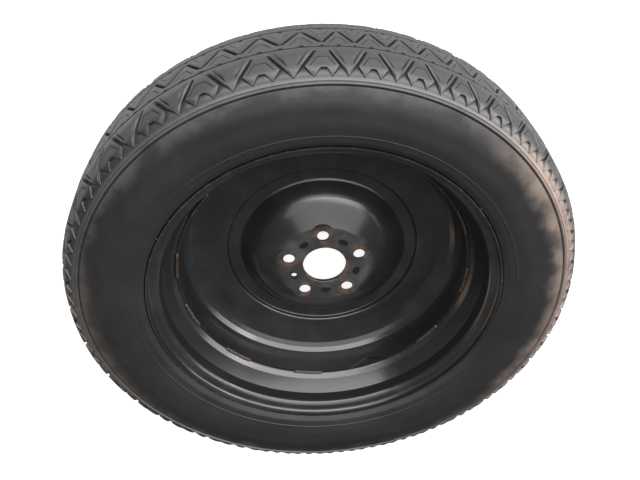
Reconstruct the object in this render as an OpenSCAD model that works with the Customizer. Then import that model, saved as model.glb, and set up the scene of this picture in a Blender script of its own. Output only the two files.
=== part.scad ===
// Temporary-use spare wheel: a narrow tyre on a deep pressed steel rim with a welded-in disc.
// The wheel lies flat with its inboard side up. Z is the wheel's axis and z = 0 is the hub mounting face.
// Angles round the axis are counted clockwise from +Y when the wheel is seen from the inboard side.

/* [Rim] */
// Diameter of the bead seats
bead_seat_d = 462; // [400:1:520]
// Width between the two flanges
rim_width = 101.6; // [92:0.2:130]
// Height of the rim's centre plane above the hub mounting face
rim_inset = 18; // [12:0.5:24]
// Thickness of the rim sheet
rim_sheet = 2.4; // [2:0.1:3]
// Height of the flanges above the bead seats
flange_h = 14.5; // [13:0.1:17.5]
// Reach of each lip beyond its flange
lip_reach = 12.5; // [10:0.1:15]
// Width of each bead seat, up to its hump
ledge_w = 19.4; // [18:0.1:22]
// Height of the humps that hold the beads
hump_h = 1.2; // [0.6:0.1:2]
// Depth of the well below the bead seats
well_depth = 17.1; // [15:0.1:19]
// Height of the step where the inboard slope drops into the well
well_step_h = 6; // [4:0.1:8]

/* [Disc] */
// Thickness of the disc sheet
disc_sheet = 3.2; // [2.6:0.1:4]
// Diameter of the hub bore
hub_bore_d = 63.4; // [54:0.1:74]
// Length of the collar turned down round the hub bore
bore_collar = 5.5; // [4:0.1:9]
// Radius of the flat hub mounting face
hub_flat_r = 67; // [64:0.5:70]
// Depth of the crown trough below the hub mounting face
crown_depth = 42; // [36:0.5:46]
// Depth of the flat annulus below the hub mounting face
annulus_depth = 35; // [30:0.5:38]
// Radius of the step between the crown trough and the annulus
crown_step_r = 142; // [136:0.5:150]
// Inside radius of the big bend from the annulus to the disc's flange
disc_bend_r = 30; // [22:0.5:36]
// Height of the disc flange's edge above the hub mounting face
disc_edge_h = 19; // [12:0.5:22]
// Clearance between the disc's flange and the rim's well
disc_fit = 0.2; // [0.1:0.05:0.4]

/* [Fixing holes] */
// Number of wheel bolts
lug_count = 5; // [4:1:6]
// Diameter of the bolt circle
bolt_circle_d = 108; // [98:0.1:120]
// Diameter of a bolt hole
lug_hole_d = 16.6; // [14:0.1:18]
// Diameter of the raised seat round a bolt hole
lug_seat_d = 28; // [26:0.5:32]
// Height of the raised seat beyond the sheet
lug_seat_h = 3; // [2:0.1:4]
// Angle of the first bolt hole
lug_start = -5.3; // [-36:0.1:36]
// Diameter of the locating hole
locating_hole_d = 8.5; // [6:0.1:10]
// Distance of the locating hole and the relief pockets from the axis
pocket_r = 48.5; // [46:0.5:52]
// Depth of the relief pockets
pocket_depth = 1.2; // [0.6:0.1:2]

/* [Welds] */
// Size of the fillet welds that hold the disc in the rim
weld_leg = 3.4; // [2.5:0.1:4.5]
// Length of one weld, as an angle round the axis
weld_arc = 13; // [8:0.5:16]
// Depth of the notch that clears the rim's butt seam
notch_depth = 15; // [8:0.5:17]
// Width of that notch at the edge of the disc
notch_w = 72; // [40:1:84]
// Angle of the notch
notch_angle = 158; // [150:1:166]

/* [Tyre] */
// Outside diameter of the tyre
tyre_d = 708; // [690:1:730]
// Width of the tyre over its sidewalls
section_w = 151; // [146:0.5:160]
// Place of the sidewalls' widest line, as a share of the way from the rim's flange to the crown
widest_share = 0.48; // [0.42:0.01:0.54]
// Thickness of the sidewalls
sidewall_t = 8; // [6:0.1:10]
// Thickness of the tread, from its face to the cavity
crown_t = 13; // [11:0.1:16]
// Clearance between the tyre's beads and the rim
bead_fit = 0.3; // [0.1:0.05:0.5]
// Depth of the tread grooves
groove_depth = 3.6; // [2:0.1:5]
// Width of the tread grooves
groove_w = 3; // [2:0.1:5]
// Number of short block pairs, which follow each other on one part of the tread
short_pairs = 22; // [2:2:30]
// Number of long block pairs on the rest of the tread
long_pairs = 14; // [2:2:30]
// Length of a long block pair compared with a short one
long_share = 1.26; // [1:0.01:1.4]
// Distance of the round grooves from the tyre's centre plane
round_groove_at = 25; // [20:0.5:28]
// Half the height of the centre zigzag
zigzag_h = 14; // [8:0.5:16]

/* [Valve] */
// Angle of the valve
valve_angle = 338; // [330:1:350]
// Diameter of the valve hole in the rim
valve_hole_d = 11.5; // [10:0.1:12]
// Diameter of the rubber base inside the tyre
valve_base_d = 16; // [14:0.1:17]
// Length of the rubber body outside the rim
valve_rubber_len = 17; // [14:0.5:20]
// Diameter of the brass stem
stem_d = 7.7; // [7:0.1:8]
// Length of bare brass thread beyond the rubber
stem_bare_len = 11; // [9:0.5:13]
// Bore of the brass stem
stem_bore_d = 5.2; // [4.8:0.1:5.6]
// Outside diameter of the valve cap
cap_d = 10.4; // [10:0.1:12]
// Length of the valve cap
cap_len = 12; // [10:0.5:14]

/* [Hidden] */
$fn = 96;
eps = 0.01;

bead_r = bead_seat_d / 2;
flange_r = bead_r + flange_h;
flange_in = rim_inset + rim_width / 2;
flange_out = rim_inset - rim_width / 2;
// The curl of a flange and the corner below it together take up the flange's height
flange_curl = 8;
bead_corner = min(6.4, flange_h - flange_curl);
seat_taper = tan(5);
well_r = bead_r - well_depth;
well_air_r = well_r - rim_sheet;
well_top = 18;
well_floor = -8;
slope_end = 25.5;

// Points of a rounded line: each corner is [r, z, radius], and each result is [[r, z], normal to the left]
arc_steps = 6;
function unit(v) = v / norm(v);
function left_of(v) = [-v[1], v[0]];
function corner(a, b, c, steps) =
    let (
        p = [a[0], a[1]],
        q = [b[0], b[1]],
        s = [c[0], c[1]],
        u = unit(q - p),
        w = unit(s - q),
        turn = atan2(u[0] * w[1] - u[1] * w[0], u * w),
        side = sign(turn),
        reach = b[2] * tan(abs(turn) / 2),
        start = q - u * reach,
        centre = start + left_of(u) * side * b[2],
        first = atan2(start[1] - centre[1], start[0] - centre[0])
    )
    (b[2] == 0 || abs(turn) < 0.01)
        ? [[q, left_of(u)]]
        : [for (i = [0 : steps])
            let (angle = first + turn * i / steps, out = [cos(angle), sin(angle)])
            [centre + out * b[2], -side * out]];
function rounded(line, steps = arc_steps) =
    let (last = len(line) - 1)
    concat(
        [[[line[0][0], line[0][1]], left_of(unit([line[1][0] - line[0][0], line[1][1] - line[0][1]]))]],
        [for (i = [1 : last - 1]) each corner(line[i - 1], line[i], line[i + 1], steps)],
        [[[line[last][0], line[last][1]],
            left_of(unit([line[last][0] - line[last - 1][0], line[last][1] - line[last - 1][1]]))]]);
function shifted(line, by) = [for (p = rounded(line)) p[0] + p[1] * by];
function backwards(list) = [for (i = [len(list) - 1 : -1 : 0]) list[i]];

// A pressed sheet of even thickness, turned round the axis: the line is its left face
module turned_sheet(line, thick) {
    rotate_extrude($fn = 180)
        polygon(concat(shifted(line, 0), backwards(shifted(line, -thick))));
}

module at_angle(angle, r, z = 0) {
    rotate([0, 0, 90 - angle]) translate([r, 0, z]) children();
}

// Rim: tyre side of the sheet, from the inboard lip to the outboard lip
rim_line = [
    [flange_r - 0.4, flange_in + lip_reach, 0],
    [flange_r, flange_in, flange_curl],
    [bead_r, flange_in, bead_corner],
    [bead_r - seat_taper * (ledge_w - 3), flange_in - ledge_w + 3, 3],
    [bead_r - seat_taper * ledge_w + hump_h, flange_in - ledge_w - 1, 4],
    [well_r + well_step_h, slope_end, 5],
    [well_r, well_top, 5],
    [well_r, well_floor, 3.5],
    [bead_r - seat_taper * ledge_w + hump_h, flange_out + ledge_w, 3],
    [bead_r - seat_taper * (ledge_w - 4), flange_out + ledge_w - 4, 3],
    [bead_r, flange_out, bead_corner],
    [flange_r, flange_out, flange_curl],
    [flange_r - 0.4, flange_out - lip_reach, 0]
];

// The valve stands square on the middle of the well's outboard wall
wall_foot = [well_r, well_floor];
wall_head = [rim_line[8][0], rim_line[8][1]];
wall_dir = unit(wall_head - wall_foot);
wall_mid = (wall_foot + wall_head) / 2 + wall_dir * 0.6;
valve_tilt = atan2(wall_head[1] - wall_foot[1], wall_head[0] - wall_foot[0]);

// The valve's own frame: its axis is Z, z = 0 is the rim's air side and the cap end points to +Z
module at_valve() {
    at_angle(valve_angle, wall_mid[0], wall_mid[1])
        rotate([0, 180 - valve_tilt, 0])
            translate([0, 0, rim_sheet])
                children();
}

module rim() {
    color([0.05, 0.05, 0.055])
        difference() {
            turned_sheet(backwards(rim_line), -rim_sheet);
            at_valve() translate([0, 0, -rim_sheet - 2]) cylinder(d = valve_hole_d, h = rim_sheet + 4);
        }
}

// Disc: inboard face of the sheet, from the hub bore to the flange's edge
flange_air_r = well_air_r - disc_fit - disc_sheet;
dome_r = 104;
dome_z = -19;
trough_foot_r = 124;
disc_line = [
    [hub_bore_d / 2, -bore_collar, 0],
    [hub_bore_d / 2, 0, 1.5],
    [hub_flat_r, 0, 10],
    [dome_r, dome_z, 60],
    [trough_foot_r, -crown_depth, 7],
    [crown_step_r - 1, -crown_depth, 3],
    [crown_step_r + 2, -annulus_depth, 4.5],
    [flange_air_r, -annulus_depth, disc_bend_r],
    [flange_air_r, disc_edge_h, 0]
];

lug_pad_r = 19;
lug_pad_t = disc_sheet - 0.6;
function lug_angle(i) = lug_start + i * 360 / lug_count;
// The locating hole and the pockets lie midway between the bolt holes
function pocket_angle(i) = lug_start + (i + 0.5) * 360 / lug_count;
locating_index = lug_count - 2;

module relief_pocket() {
    pocket_len = 15;
    pocket_w = 9;
    translate([0, 0, -pocket_depth]) {
        translate([-pocket_w / 2, -(pocket_len - pocket_w) / 2, 0])
            cube([pocket_w, pocket_len - pocket_w, pocket_depth + 1]);
        for (side = [-1, 1])
            translate([0, side * (pocket_len - pocket_w) / 2, 0])
                cylinder(d = pocket_w, h = pocket_depth + 1, $fn = 48);
    }
}

// The notch in the disc's edge is a smooth bell, cut straight out from the axis
module edge_notch() {
    steps = 16;
    bell = [for (i = [0 : steps])
        let (x = -notch_w / 2 + notch_w * i / steps)
        [x, -notch_depth / 2 * (1 + cos(360 * x / notch_w))]];
    at_angle(notch_angle, 0, disc_edge_h)
        rotate([90, 0, 90])
            linear_extrude(height = well_r + 20)
                polygon(concat([[-notch_w / 2, 8]], bell, [[notch_w / 2, 8]]));
}

module wheel_disc() {
    color([0.06, 0.06, 0.065])
        difference() {
            union() {
                turned_sheet(disc_line, disc_sheet);
                for (i = [0 : lug_count - 1])
                    at_angle(lug_angle(i), bolt_circle_d / 2) {
                        translate([0, 0, -lug_pad_t]) cylinder(r = lug_pad_r, h = lug_pad_t, $fn = 72);
                        translate([0, 0, -disc_sheet - lug_seat_h])
                            cylinder(d1 = lug_seat_d - 3, d2 = lug_seat_d, h = lug_seat_h + 0.4, $fn = 72);
                    }
            }
            for (i = [0 : lug_count - 1])
                at_angle(lug_angle(i), bolt_circle_d / 2, -disc_sheet - lug_seat_h) {
                    translate([0, 0, -1]) cylinder(d = lug_hole_d, h = disc_sheet + lug_seat_h + 2, $fn = 60);
                    translate([0, 0, -eps])
                        cylinder(d1 = lug_hole_d + 5.6, d2 = lug_hole_d - 1, h = lug_seat_h + 2, $fn = 60);
                }
            for (i = [0 : lug_count - 1])
                if (i != locating_index)
                    at_angle(pocket_angle(i), pocket_r) relief_pocket();
            at_angle(pocket_angle(locating_index), pocket_r, -disc_sheet - 1)
                cylinder(d = locating_hole_d, h = disc_sheet + 2, $fn = 48);
            edge_notch();
        }
}

// Welds: short fillet beads between the disc's edge and the rim's well
weld_angles = [5, 34, 64, 94, 127, 185, 218, 248, 274, 304, 335];

module disc_welds() {
    color([0.12, 0.1, 0.09])
        for (middle = weld_angles)
            rotate([0, 0, 90 - middle - weld_arc / 2])
                rotate_extrude(angle = weld_arc, $fn = 180)
                    polygon(concat(
                        [[well_air_r - 0.1, disc_edge_h]],
                        [for (i = [0 : 5])
                            let (turn = 18 * i)
                            [well_air_r - 0.1 - weld_leg * cos(turn), disc_edge_h + weld_leg * sin(turn)]]));
}

// Tyre section, measured from the centre plane: outside from crown to bead, then inside back again
tread_r = tyre_d / 2;
half_w = section_w / 2;
bead_in = rim_width / 2 - bead_fit;
lip_top = rim_width / 2 + lip_reach;
side_h = tread_r - flange_r;
widest_r = flange_r + side_h * widest_share;
crown_drop = 1.8;
crown_edge = half_w - 31.5;
shoulder_drop = side_h * 0.1;
shoulder_in = 9;
buttress_drop = side_h * 0.25;
buttress_in = 4;
outer_half = [
    [tread_r, 0, 0],
    [tread_r - crown_drop, crown_edge, 20],
    [tread_r - shoulder_drop, half_w - shoulder_in, side_h * 0.13],
    [tread_r - buttress_drop, half_w - buttress_in, side_h * 0.18],
    [widest_r + side_h * 0.055, half_w + 0.6, side_h * 0.55],
    [widest_r - side_h * 0.185, half_w - 1, side_h * 0.55],
    [flange_r + 8, lip_top + 4, 8],
    [flange_r + bead_fit, lip_top - 1.4, 1.5],
    [flange_r + bead_fit, bead_in, flange_curl],
    [bead_r + bead_fit, bead_in, bead_corner],
    [bead_r + bead_fit - seat_taper * 15.5, bead_in - 15.5, 2]
];
inner_half = [
    [bead_r + 5, bead_in - 17, 3],
    [flange_r + 6, bead_in - 3, 12],
    [widest_r - side_h * 0.185, half_w - sidewall_t - 2, side_h * 0.37],
    [widest_r + side_h * 0.13, half_w - sidewall_t, side_h * 0.28],
    [tread_r - crown_t - side_h * 0.075, half_w - sidewall_t - shoulder_in, side_h * 0.15],
    [tread_r - crown_t, crown_edge - 8, 20],
    [tread_r - crown_t, 0, 0]
];
tyre_half = [for (p = rounded(concat(outer_half, inner_half), 3)) p[0]];

module tyre_body() {
    translate([0, 0, rim_inset])
        rotate_extrude($fn = 180)
            polygon(concat(tyre_half, backwards([for (p = tyre_half) if (p[1] > 0) [p[0], -p[1]]])));
}

// The skin of the tread that the grooves are cut into, as deep as the grooves below the tread's own corners
module tread_skin() {
    over = 4;
    skin = [
        [tread_r - groove_depth, 0],
        [tread_r - crown_drop - groove_depth, crown_edge],
        [tread_r - shoulder_drop - groove_depth, half_w - shoulder_in - groove_depth / 2],
        [tread_r - buttress_drop + over, half_w - buttress_in - groove_depth / 2],
        [tread_r - buttress_drop + over, half_w],
        [tread_r + over, half_w],
        [tread_r + over, 0]
    ];
    translate([0, 0, rim_inset])
        rotate_extrude($fn = 180)
            polygon(concat(skin, backwards([for (p = skin) if (p[1] > 0) [p[0], -p[1]]])));
}

// A straight slot across the tread, from [angle, height] to [angle, height], height from the centre plane
module slot(a, b) {
    middle = (a + b) / 2;
    across = (b[0] - a[0]) * PI / 180 * tread_r;
    up = b[1] - a[1];
    run = norm([across, up]) + groove_w * 2 / 3;
    sunk = groove_depth + shoulder_drop + buttress_drop;
    at_angle(middle[0], tread_r, rim_inset + middle[1])
        rotate([atan2(up, across), 0, 0])
            translate([-sunk, -run / 2, -groove_w / 2])
                cube([sunk + 10, run, groove_w]);
}

// Block pairs are counted from the first one; the short pairs come first, and then the long ones
first_pair = -3.6;
short_angle = 360 / (short_pairs + long_pairs * long_share);
long_angle = short_angle * long_share;
function pair_at(i) =
    first_pair + min(i, short_pairs) * short_angle + max(i - short_pairs, 0) * long_angle;
function pair_angle(i) = i < short_pairs ? short_angle : long_angle;
waves_per_pair = 3 / 2;

module tread_slots() {
    block_start = round_groove_at + 11;
    block_end = half_w - buttress_in;
    for (side = [-1, 1])
        for (i = [0 : short_pairs + long_pairs - 1])
            for (hand = [-1, 1]) {
                step = hand * pair_angle(hand < 0 && i == 0 ? short_pairs : hand < 0 ? i - 1 : i);
                slot([pair_at(i) + step * 0.125, side * block_start], [pair_at(i) + step * 0.44, side * block_end]);
            }
    for (i = [0 : (short_pairs + long_pairs) * waves_per_pair - 1]) {
        peak = pair_at(i / waves_per_pair);
        next = pair_at((i + 1) / waves_per_pair);
        slot([peak, -zigzag_h], [(peak + next) / 2, zigzag_h]);
        slot([(peak + next) / 2, zigzag_h], [next, -zigzag_h]);
    }
}

// Round grooves: one each side of the zigzag
module round_grooves() {
    for (side = [-1, 1])
        translate([0, 0, rim_inset + side * round_groove_at - groove_w / 2])
            difference() {
                cylinder(r = tread_r + 2, h = groove_w, $fn = 180);
                translate([0, 0, -1]) cylinder(r = tread_r - groove_depth - 1, h = groove_w + 2, $fn = 180);
            }
}

module tyre() {
    color([0.12, 0.12, 0.12])
        difference() {
            tyre_body();
            round_grooves();
            intersection() {
                tread_skin();
                union() tread_slots();
            }
        }
}

// Valve: a rubber body pulled through the rim, with a brass stem bonded into it
rubber_r = stem_d / 2 + 1.6;
bulge_r = 7.2;

module valve_body() {
    neck_r = valve_hole_d / 2 - 0.1;
    color([0.1, 0.1, 0.1])
        at_valve()
            rotate_extrude($fn = 96)
                polygon([
                    [stem_d / 2 - 0.6, -rim_sheet - 4],
                    [valve_base_d / 2 - 1, -rim_sheet - 3.6],
                    [valve_base_d / 2, -rim_sheet - 2.4],
                    [valve_base_d / 2 - 0.4, -rim_sheet - 0.2],
                    [neck_r, -rim_sheet - 0.2],
                    [neck_r, 0.2],
                    [bulge_r, 0.8],
                    [bulge_r, 2.6],
                    [rubber_r, 8],
                    [rubber_r - 0.5, valve_rubber_len],
                    [stem_d / 2 - 0.6, valve_rubber_len]
                ]);
}

stem_inner_r = stem_d / 2 - 0.6;
stem_start = -rim_sheet - 4;
stem_end = valve_rubber_len + stem_bare_len;
throat = stem_end - 17;
throat_r = 1.6;

module valve_stem() {
    color([0.72, 0.58, 0.32])
        at_valve()
            rotate_extrude($fn = 72)
                polygon([
                    [throat_r, stem_start],
                    [stem_inner_r, stem_start],
                    [stem_inner_r, valve_rubber_len],
                    [stem_d / 2, valve_rubber_len],
                    [stem_d / 2, stem_end - 0.6],
                    [stem_d / 2 - 0.6, stem_end],
                    [stem_bore_d / 2, stem_end],
                    [stem_bore_d / 2, throat + 1.2],
                    [throat_r, throat]
                ]);
}

// Valve core: a brass plug screwed into the stem, sealed by a gasket on the throat's cone
plug_fit = 0.1;
plug_r = stem_bore_d / 2 - plug_fit;
plug_end = stem_end - 2.2;
plug_start = throat + 3.4;
pin_r = 0.55;
core_bore_r = 0.8;

module core_barrel() {
    color([0.75, 0.62, 0.35])
        at_valve()
            rotate_extrude($fn = 48)
                polygon([
                    [core_bore_r, plug_start],
                    [plug_r - 0.6, plug_start],
                    [plug_r - 0.6, plug_end - 4],
                    [plug_r, plug_end - 3.6],
                    [plug_r, plug_end],
                    [core_bore_r, plug_end]
                ]);
}

module core_gasket() {
    color([0.6, 0.1, 0.08])
        at_valve()
            translate([0, 0, throat + 1.6])
                difference() {
                    cylinder(r1 = plug_r - 0.3, r2 = plug_r, h = 1.8, $fn = 48);
                    translate([0, 0, -1]) cylinder(r = core_bore_r, h = 4, $fn = 48);
                }
}

// The pin's head stands clear of the plug by its travel
pin_travel = 1.5;
head_z = plug_end + pin_travel + 0.1;
pin_tail = 7;
cup_z = throat + 0.2;

module core_pin() {
    color([0.8, 0.68, 0.4])
        at_valve() {
            translate([0, 0, cup_z - pin_tail]) cylinder(r = pin_r, h = head_z + 0.4 - cup_z + pin_tail, $fn = 32);
            translate([0, 0, head_z]) cylinder(r = 1.1, h = 0.7, $fn = 32);
        }
}

module core_cup() {
    color([0.3, 0.3, 0.3])
        at_valve()
            translate([0, 0, cup_z])
                difference() {
                    cylinder(r = 1.35, h = 1.3, $fn = 40);
                    translate([0, 0, -1]) cylinder(r = pin_r, h = 4, $fn = 32);
                }
}

module core_spring() {
    color([0.7, 0.7, 0.72])
        at_valve()
            translate([0, 0, cup_z - 5.4])
                for (i = [0 : 5])
                    translate([0, 0, i * 0.9])
                        rotate_extrude($fn = 36) translate([1.15, 0]) circle(r = 0.18, $fn = 16);
}

// Valve cap: a ribbed plastic shell over the stem's end
cap_thread_fit = 0.15;
cap_bore_r = stem_d / 2 + cap_thread_fit;
cap_top_t = 1.6;
cap_z = stem_end + 1.4 + cap_top_t - cap_len;

module valve_cap() {
    color([0.08, 0.08, 0.08])
        at_valve()
            translate([0, 0, cap_z])
                difference() {
                    rotate_extrude($fn = 72)
                        polygon([
                            [0, 0],
                            [cap_d / 2, 0],
                            [cap_d / 2, cap_len - 1.4],
                            [cap_d / 2 - 1.2, cap_len],
                            [0, cap_len]
                        ]);
                    translate([0, 0, -1]) cylinder(r = cap_bore_r, h = cap_len - cap_top_t + 1, $fn = 72);
                    for (i = [0 : 17])
                        rotate([0, 0, i * 20])
                            translate([cap_d / 2 + 0.25, 0, 2]) cylinder(r = 0.5, h = cap_len - 5, $fn = 24);
                }
}

module cap_seal() {
    color([0.15, 0.15, 0.15])
        at_valve()
            translate([0, 0, stem_end + 0.3])
                cylinder(r = cap_bore_r - 0.1, h = 1.1, $fn = 48);
}

tyre();
rim();
wheel_disc();
disc_welds();
valve_body();
valve_stem();
core_barrel();
core_gasket();
core_pin();
core_cup();
core_spring();
valve_cap();
cap_seal();
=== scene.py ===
"""Builds the look of the space saver spare wheel on its CAD frame: tyre, pressed steel, welds, valve and stage."""

import math
from types import SimpleNamespace

import bmesh
import bpy
import numpy as np
from bpy.props import FloatProperty, FloatVectorProperty, IntProperty, PointerProperty
from mathutils import Matrix, Vector
from mathutils.geometry import delaunay_2d_cdt


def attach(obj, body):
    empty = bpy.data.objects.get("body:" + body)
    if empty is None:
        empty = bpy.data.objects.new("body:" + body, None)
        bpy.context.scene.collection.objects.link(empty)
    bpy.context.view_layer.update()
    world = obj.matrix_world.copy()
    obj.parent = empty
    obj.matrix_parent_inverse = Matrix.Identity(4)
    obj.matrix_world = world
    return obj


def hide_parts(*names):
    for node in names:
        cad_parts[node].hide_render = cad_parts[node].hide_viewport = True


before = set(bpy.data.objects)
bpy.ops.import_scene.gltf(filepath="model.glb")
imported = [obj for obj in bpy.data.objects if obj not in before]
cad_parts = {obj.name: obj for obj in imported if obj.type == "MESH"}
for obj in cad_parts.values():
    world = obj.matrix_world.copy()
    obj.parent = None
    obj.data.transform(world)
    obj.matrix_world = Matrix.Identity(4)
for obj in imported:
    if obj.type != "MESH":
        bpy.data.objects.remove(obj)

bl_info = {
    "name": "Space Saver Spare Wheel",
    "version": (1, 0, 0),
    "blender": (4, 2, 0),
    "location": "View3D > Sidebar > Spare Wheel",
    "description": "Tread, sidewalls, weld beads and finishes of a temporary-use spare wheel",
    "category": "Object",
}

MM = 0.001


class SpareWheelSettings(bpy.types.PropertyGroup):
    """Sizes and finishes that the operators read."""

    tyre_radius: FloatProperty(
        name="Tyre radius",
        description="From the axle to the crown of the tread",
        subtype="DISTANCE",
        unit="LENGTH",
        precision=4,
        default=0.354,
        min=0.3,
        max=0.4,
    )
    half_width: FloatProperty(
        name="Half section width",
        description="Half the width of the tyre over its sidewalls",
        subtype="DISTANCE",
        unit="LENGTH",
        precision=4,
        default=0.0755,
        min=0.06,
        max=0.09,
    )
    widest_share: FloatProperty(
        name="Widest line",
        description="Height of the tyre's widest line, as a share of its sidewall",
        subtype="FACTOR",
        default=0.48,
        min=0.42,
        max=0.54,
    )
    centre_height: FloatProperty(
        name="Rim centre height",
        description="Height of the rim's middle plane over the origin",
        subtype="DISTANCE",
        unit="LENGTH",
        precision=4,
        default=0.018,
        min=0.0,
        max=0.04,
    )
    flange_radius: FloatProperty(
        name="Flange radius",
        description="Outer radius of the rim's flanges",
        subtype="DISTANCE",
        unit="LENGTH",
        precision=4,
        default=0.2455,
        min=0.2,
        max=0.28,
    )
    lip_top: FloatProperty(
        name="Lip height",
        description="Top of the rim's flange over its middle plane",
        subtype="DISTANCE",
        unit="LENGTH",
        precision=4,
        default=0.0633,
        min=0.05,
        max=0.08,
    )
    bead_inner: FloatProperty(
        name="Bead height",
        description="Height over the middle plane at which the sidewall goes under the flange",
        subtype="DISTANCE",
        unit="LENGTH",
        precision=4,
        default=0.0505,
        min=0.04,
        max=0.07,
    )
    tread_edge: FloatProperty(
        name="Tread edge",
        description="Distance along the section from the crown to the last block",
        subtype="DISTANCE",
        unit="LENGTH",
        precision=4,
        default=0.0795,
        min=0.06,
        max=0.09,
    )
    groove_depth: FloatProperty(
        name="Groove depth",
        description="Depth of the grooves in the middle of the tread",
        subtype="DISTANCE",
        unit="LENGTH",
        precision=4,
        default=0.005,
        min=0.001,
        max=0.008,
    )
    weld_leg: FloatProperty(
        name="Weld leg",
        description="Size of the weld beads",
        subtype="DISTANCE",
        unit="LENGTH",
        precision=4,
        default=0.0034,
        min=0.002,
        max=0.005,
    )
    weld_radius: FloatProperty(
        name="Weld line radius",
        description="Radius at which the disc meets the rim",
        subtype="DISTANCE",
        unit="LENGTH",
        precision=4,
        default=0.2114,
        min=0.18,
        max=0.24,
    )
    weld_height: FloatProperty(
        name="Weld line height",
        description="Height of the disc's edge over the origin",
        subtype="DISTANCE",
        unit="LENGTH",
        precision=4,
        default=0.019,
        min=0.0,
        max=0.03,
    )
    long_repeats: IntProperty(
        name="Long pitch repeats",
        description="How many stretches of two block pairs have the long pitch",
        default=7,
        min=0,
        max=20,
    )
    short_repeats: IntProperty(
        name="Short pitch repeats",
        description="How many stretches of two block pairs have the short pitch",
        default=11,
        min=0,
        max=20,
    )
    long_pitch: FloatProperty(
        name="Long pitch",
        description="Angle that two block pairs of the long pitch take",
        subtype="ANGLE",
        unit="ROTATION",
        default=math.radians(22.89),
        min=math.radians(18),
        max=math.radians(26),
    )
    first_block: FloatProperty(
        name="First block",
        description="Angle of the first block, clockwise from +Y",
        subtype="ANGLE",
        unit="ROTATION",
        default=math.radians(-3.6),
        min=math.radians(-36),
        max=math.radians(36),
    )
    floor_grey: FloatProperty(
        name="Floor brightness",
        description="How much light the floor sends back",
        subtype="FACTOR",
        default=0.5,
        min=0.0,
        max=1.0,
    )
    key_strength: FloatProperty(
        name="Key light",
        description="Power of the softbox beyond the near side",
        unit="POWER",
        default=89.0,
        min=0.0,
        max=1000.0,
    )
    overhead_strength: FloatProperty(
        name="Overhead light",
        description="Power of the softbox overhead",
        unit="POWER",
        default=22.0,
        min=0.0,
        max=1000.0,
    )
    side_strength: FloatProperty(
        name="Side light",
        description="Power of the panel on the +X side",
        unit="POWER",
        default=60.0,
        min=0.0,
        max=1000.0,
    )
    under_strength: FloatProperty(
        name="Underside light",
        description="Power of the panel below the floor, which only the underside sees",
        unit="POWER",
        default=80.0,
        min=0.0,
        max=1000.0,
    )
    fill_strength: FloatProperty(
        name="Warm fill",
        description="Power of the warm panel on the -X side",
        unit="POWER",
        default=4.0,
        min=0.0,
        max=1000.0,
    )
    paint_colour: FloatVectorProperty(
        name="Paint",
        description="Gloss black paint of rim and disc",
        subtype="COLOR",
        default=(0.009, 0.009, 0.0095),
        min=0.0,
        max=1.0,
    )
    rubber_colour: FloatVectorProperty(
        name="Rubber",
        description="Clean rubber of the sidewalls",
        subtype="COLOR",
        default=(0.009, 0.009, 0.0096),
        min=0.0,
        max=1.0,
    )
    worn_colour: FloatVectorProperty(
        name="Worn rubber",
        description="Rubber of the tread's faces",
        subtype="COLOR",
        default=(0.0105, 0.0105, 0.0105),
        min=0.0,
        max=1.0,
    )
    rust_colour: FloatVectorProperty(
        name="Rust",
        description="Lightest tone of the rust",
        subtype="COLOR",
        default=(0.115, 0.058, 0.03),
        min=0.0,
        max=1.0,
    )
    # Dust tone, which also paints a sheen on the sidewalls under the tread
    dust_and_sheen_colour: FloatVectorProperty(
        name="Dust",
        description="Pale dust that settles on faces that look up",
        subtype="COLOR",
        default=(0.26, 0.25, 0.235),
        min=0.0,
        max=1.0,
    )
    # Brown mud tone, which also paints a sheen of the side light on the +X part of the sidewall
    mud_and_sheen_colour: FloatVectorProperty(
        name="Dried mud",
        description="Brown film on one side of the sidewall",
        subtype="COLOR",
        default=(0.2, 0.15, 0.122),
        min=0.0,
        max=1.0,
    )


# Middle of each weld, clockwise from +Y, and the arc that one covers, in degrees
WELD_ANGLES = (5, 34, 64, 94, 127, 185, 218, 248, 274, 304, 335)
WELD_ARC = 13.0

# Bolt holes and relief pockets of the disc: angle of the first bolt, number, and radius of each ring
LUG_START = -5.3
LUG_COUNT = 5
BOLT_RADIUS = 54.0
POCKET_RADIUS = 48.5

# Tread pattern: length of a block pair, and outlines with v in mm. Their x is a share of a pair at the shoulder
# and a share of a zigzag wave for the centre arch. The ring groove gives v alone, and its x comes from the teeth
PAIR = 56.0
ZIGZAG_HEIGHT = 14.0
ZIGZAG_FLAT = 2.4
ZIGZAG_WIDTH = 3.5
TOOTH = 1.9
TOOTH_FOOT = 2.1
SIPE_WIDTH = 0.8
RING_GROOVE = (22.8, 22.8, 25.4, 24.9, 22.0, 21.6, 24.8, 25.4, 22.8, 22.8, 28.6, 28.2, 28.6)
CENTRE_ARCH = ((-0.27, 19.0), (-0.075, 4.2), (0.075, 4.2), (0.27, 19.0))
SHOULDER_ARCH = ((-0.215, 61.8), (-0.088, 49.4), (0.088, 49.4), (0.215, 61.8))
SHOULDER_SIPE = ((0.235, 35.8), (0.415, 59.5))
SHOULDER_SLOT = (
    (0.098, 36.9),
    (0.15, 36.1),
    (0.366, 61.5),
    (0.492, 74.4),
    (0.492, 79.0),
    (0.172, 79.0),
    (0.172, 74.2),
    (0.302, 62.6),
)
SHOULDER_NOTCH = (
    (-0.085, 67.2),
    (-0.052, 64.4),
    (0.052, 64.4),
    (0.085, 67.2),
    (0.158, 74.4),
    (0.158, 79.0),
    (-0.158, 79.0),
    (-0.158, 74.4),
)
BLOCK_FOOT = 74.9
PATTERN_END = 79.0
SIPE_DEPTH = 2.6

# Lines of the sidewall: place, height and half width. Those by the tread lie along the section, the others on a radius
SHOULDER_LINES = ((80.2, -0.6, 0.5), (82.2, 1.7, 1.35), (84.9, -1.1, 1.0))
RIM_LINES = ((263.0, 0.4, 0.7),)
SHOULDER_LINES_END = 86.5
SIDEWALL_TURNS = 300
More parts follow.
